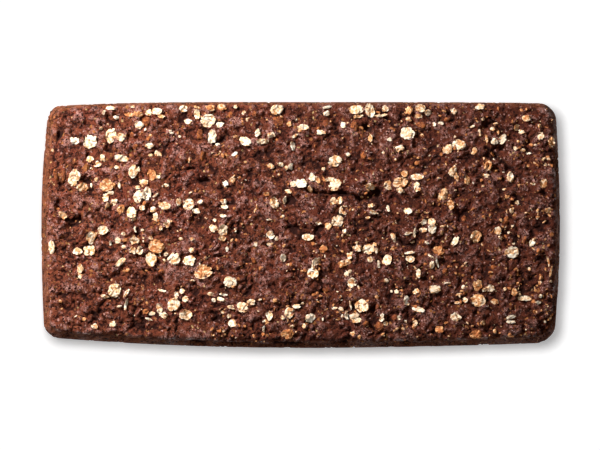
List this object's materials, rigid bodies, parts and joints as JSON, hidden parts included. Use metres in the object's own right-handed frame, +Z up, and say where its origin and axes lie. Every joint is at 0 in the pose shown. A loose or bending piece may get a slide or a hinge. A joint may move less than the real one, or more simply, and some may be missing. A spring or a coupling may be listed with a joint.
{
  "type": "rye loaf",
  "caption": "Long tin-baked rye loaf with a nearly flat, knobbly top crust strewn with rolled oat flakes, walls that taper to a flat base, and rounded corners.",
  "frame": {"origin": "centre of the flat base that the loaf rests on", "axes": "+X along the loaf, +Y across it, +Z up"},
  "size_m": [0.2497, 0.1178, 0.0676],
  "materials": {
    "crust": "satin",
    "oat": "matte"
  },
  "bodies": {
    "root": {"loaf": "crust", "oat_flake_01": "oat", "oat_flake_02": "oat", "oat_flake_03": "oat", "oat_flake_04": "oat", "oat_flake_05": "oat", "oat_flake_06": "oat", "oat_flake_07": "oat", "oat_flake_08": "oat", "oat_flake_09": "oat", "oat_flake_10": "oat", "oat_flake_11": "oat", "oat_flake_12": "oat", "oat_flake_13": "oat", "oat_flake_14": "oat", "oat_flake_15": "oat", "oat_flake_16": "oat", "oat_flake_17": "oat", "oat_flake_18": "oat", "oat_flake_19": "oat", "oat_flake_20": "oat", "oat_flake_21": "oat", "oat_flake_22": "oat", "oat_flake_23": "oat", "oat_flake_24": "oat", "oat_flake_25": "oat", "oat_flake_26": "oat", "oat_flake_27": "oat", "oat_flake_28": "oat", "oat_flake_29": "oat", "oat_flake_30": "oat", "oat_flake_31": "oat", "oat_flake_32": "oat", "oat_flake_33": "oat", "oat_flake_34": "oat", "oat_flake_35": "oat", "oat_flake_36": "oat", "oat_flake_37": "oat", "oat_flake_38": "oat", "oat_flake_39": "oat", "oat_flake_40": "oat", "oat_flake_41": "oat", "oat_flake_42": "oat", "oat_flake_43": "oat", "oat_flake_44": "oat", "oat_flake_45": "oat", "oat_flake_46": "oat", "oat_flake_47": "oat", "oat_flake_48": "oat", "oat_flake_49": "oat", "oat_flake_50": "oat", "oat_flake_51": "oat", "oat_flake_52": "oat", "oat_flake_53": "oat", "oat_flake_54": "oat", "oat_flake_55": "oat", "oat_flake_56": "oat", "oat_flake_57": "oat", "oat_flake_58": "oat", "oat_flake_59": "oat"}
  },
  "joints": []
}
